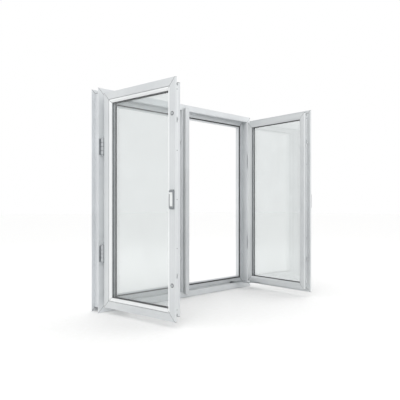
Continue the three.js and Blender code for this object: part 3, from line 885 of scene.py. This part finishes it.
def buildLocks(side, direction):
    lock = lockShape
    body = "sash_" + side
    place = sashMatrix(side)
    easedNode("handle_housing_" + side, lock["housingRound"], coatedHousing, body, 4)
    easedNode("handle_lever_" + side, lock["leverRound"], coatedLever, "lever_" + side, 3)
    rodBody = "lock_rod_" + side
    easedNode(rodBody, lock["rodRound"], stainlessUpright, rodBody)
    easedNode("lock_faceplate_" + side, lock["plateRound"], stainlessUpright, body)
    free = sashExtent(direction)[1]
    middleZ = outerFrame["height"] / 2
    buildStileHeads(side, free - direction * lock["headFromEdge"], middleZ, place)
    strip = free - direction * (sashShape["lip"] - lock["plateGap"] - lock["plate"])
    middleY = sashFace + sum(sashShape["groove"][:2]) / 2
    spots = [(strip, middleY, middleZ + steps * lock["screwPitch"]) for steps in lock["screwSteps"]]
    addScrews("faceplate_screws_" + side, spots, (direction, 0, 0), body, place)
    for level in ("upper", "lower"):
        node = f"keeper_{side}_{level}"
        easedNode(node, lock["keeperRound"], stainlessUpright, "frame")


# Two round heads on dark washers, on the room face of the stile that meets the mullion
def buildStileHeads(side, x, middleZ, place):
    lock = lockShape
    body = "sash_" + side
    r, proud, sunk = lock["headRadius"], lock["headProud"], lock["sunk"]
    dome = [(0, -sunk), (r, -sunk), (r, proud * lock["headWall"])]
    foot, domeRadius = lock["domeFoot"], r * lock["domeRadius"]
    for step in range(1, 8):
        a = math.radians(90 * step / 7)
        dome.append((domeRadius * math.cos(a), proud * (foot + (1 - foot) * math.sin(a))))
    rim, top = lock["washerRadius"], lock["washerProud"]
    ring = [(0, -sunk), (rim, -sunk), (rim, lock["washerWall"]), (rim - lock["washerChamfer"], top), (0, top)]
    turnOut = Matrix.Rotation(math.radians(90), 4, "X")  # a dome's top faces the room
    heads, washers = [], []
    for offset in (lock["headFromMiddle"], -lock["headFromMiddle"]):
        spot = Matrix.Translation((x, sashFace, middleZ + offset)) @ turnOut
        heads.append(moved(lathe(dome, lock["sides"]), spot))
        washers.append(moved(lathe(ring, lock["sides"]), spot))
    addPiece("stile_washers_" + side, merged(washers), rubber, body, (), place)
    addPiece("stile_heads_" + side, merged(heads), platedSteel, body, (), place)


stayShape = {
    "bracketRound": 0.4,
    "armRound": 0.5,
    "shoeRound": 0.5,
    "railRound": 0.4,
    "screwFromEnd": 7,
    "screwSunk": 0.2,
}


def buildStays(side):
    stay = stayShape
    armBody, shoeBody = "stay_arm_" + side, "stay_shoe_" + side
    sashBody = "sash_" + side
    easedNode("stay_bracket_" + side, stay["bracketRound"], stainlessStay, sashBody)
    easedNode(armBody, stay["armRound"], stainlessStay, armBody, 3)
    easedNode(shoeBody, stay["shoeRound"], nylon, shoeBody, 3)
    easedNode("stay_rail_" + side, stay["railRound"], stainlessAcross, "frame")
    low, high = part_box("stay_rail_" + side)
    fromEnd = stay["screwFromEnd"]
    middleY, top = (low[1] + high[1]) / 2 / mm, high[2] / mm - stay["screwSunk"]
    spots = [(x, middleY, top) for x in (low[0] / mm + fromEnd, high[0] / mm - fromEnd)]
    addScrews("rail_screws_" + side, spots, (0, 0, 1), "frame")


buildFrame()
print("outer frame built")
for side, direction in sides.items():
    buildSash(side, direction)
    buildHinges(side, direction)
    buildLocks(side, direction)
    buildStays(side)
    print(side, "sash built")


def aimed(source, target):
    return (Vector(target) - Vector(source)).to_track_quat("-Z", "Y").to_euler()


def buildStudio():
    size = studio["floorSize"] / 2
    mesh = bpy.data.meshes.new("studio_floor")
    corners = [(-size, -size), (size, -size), (size, size), (-size, size)]
    mesh.from_pydata([(x, y, -studio["floorDrop"]) for x, y in corners], [], [(0, 1, 2, 3)])
    floor = bpy.data.objects.new("studio_floor", mesh)
    scene.collection.objects.link(floor)
    floor.data.materials.append(studioFloor())
    world = bpy.data.worlds.new("studioWorld")
    world.use_nodes = True
    background = world.node_tree.nodes["Background"]
    background.inputs["Color"].default_value = linearColour(studio["world"])
    background.inputs["Strength"].default_value = studio["worldStrength"]
    scene.world = world
    for lamp in lamps:
        light = bpy.data.lights.new(lamp["name"], "AREA")
        light.shape = "DISK"
        light.size = lamp["size"]
        light.energy = lamp["power"]
        holder = bpy.data.objects.new(lamp["name"], light)
        holder.location = lamp["place"]
        holder.rotation_euler = aimed(lamp["place"], lamp["aim"])
        scene.collection.objects.link(holder)
    camera = bpy.data.cameras.new("viewCamera")
    camera.lens = cameraSetup["lens"]
    camera.sensor_width = cameraSetup["sensor"]
    camera.shift_x, camera.shift_y = cameraSetup["shift"]
    holder = bpy.data.objects.new("viewCamera", camera)
    holder.location = cameraSetup["place"]
    holder.rotation_euler = (math.radians(90), 0, -math.radians(cameraSetup["turn"]))
    scene.collection.objects.link(holder)
    scene.camera = holder
    scene.view_settings.view_transform = "Standard"


buildStudio()
print("studio built")
bpy.context.view_layer.update()
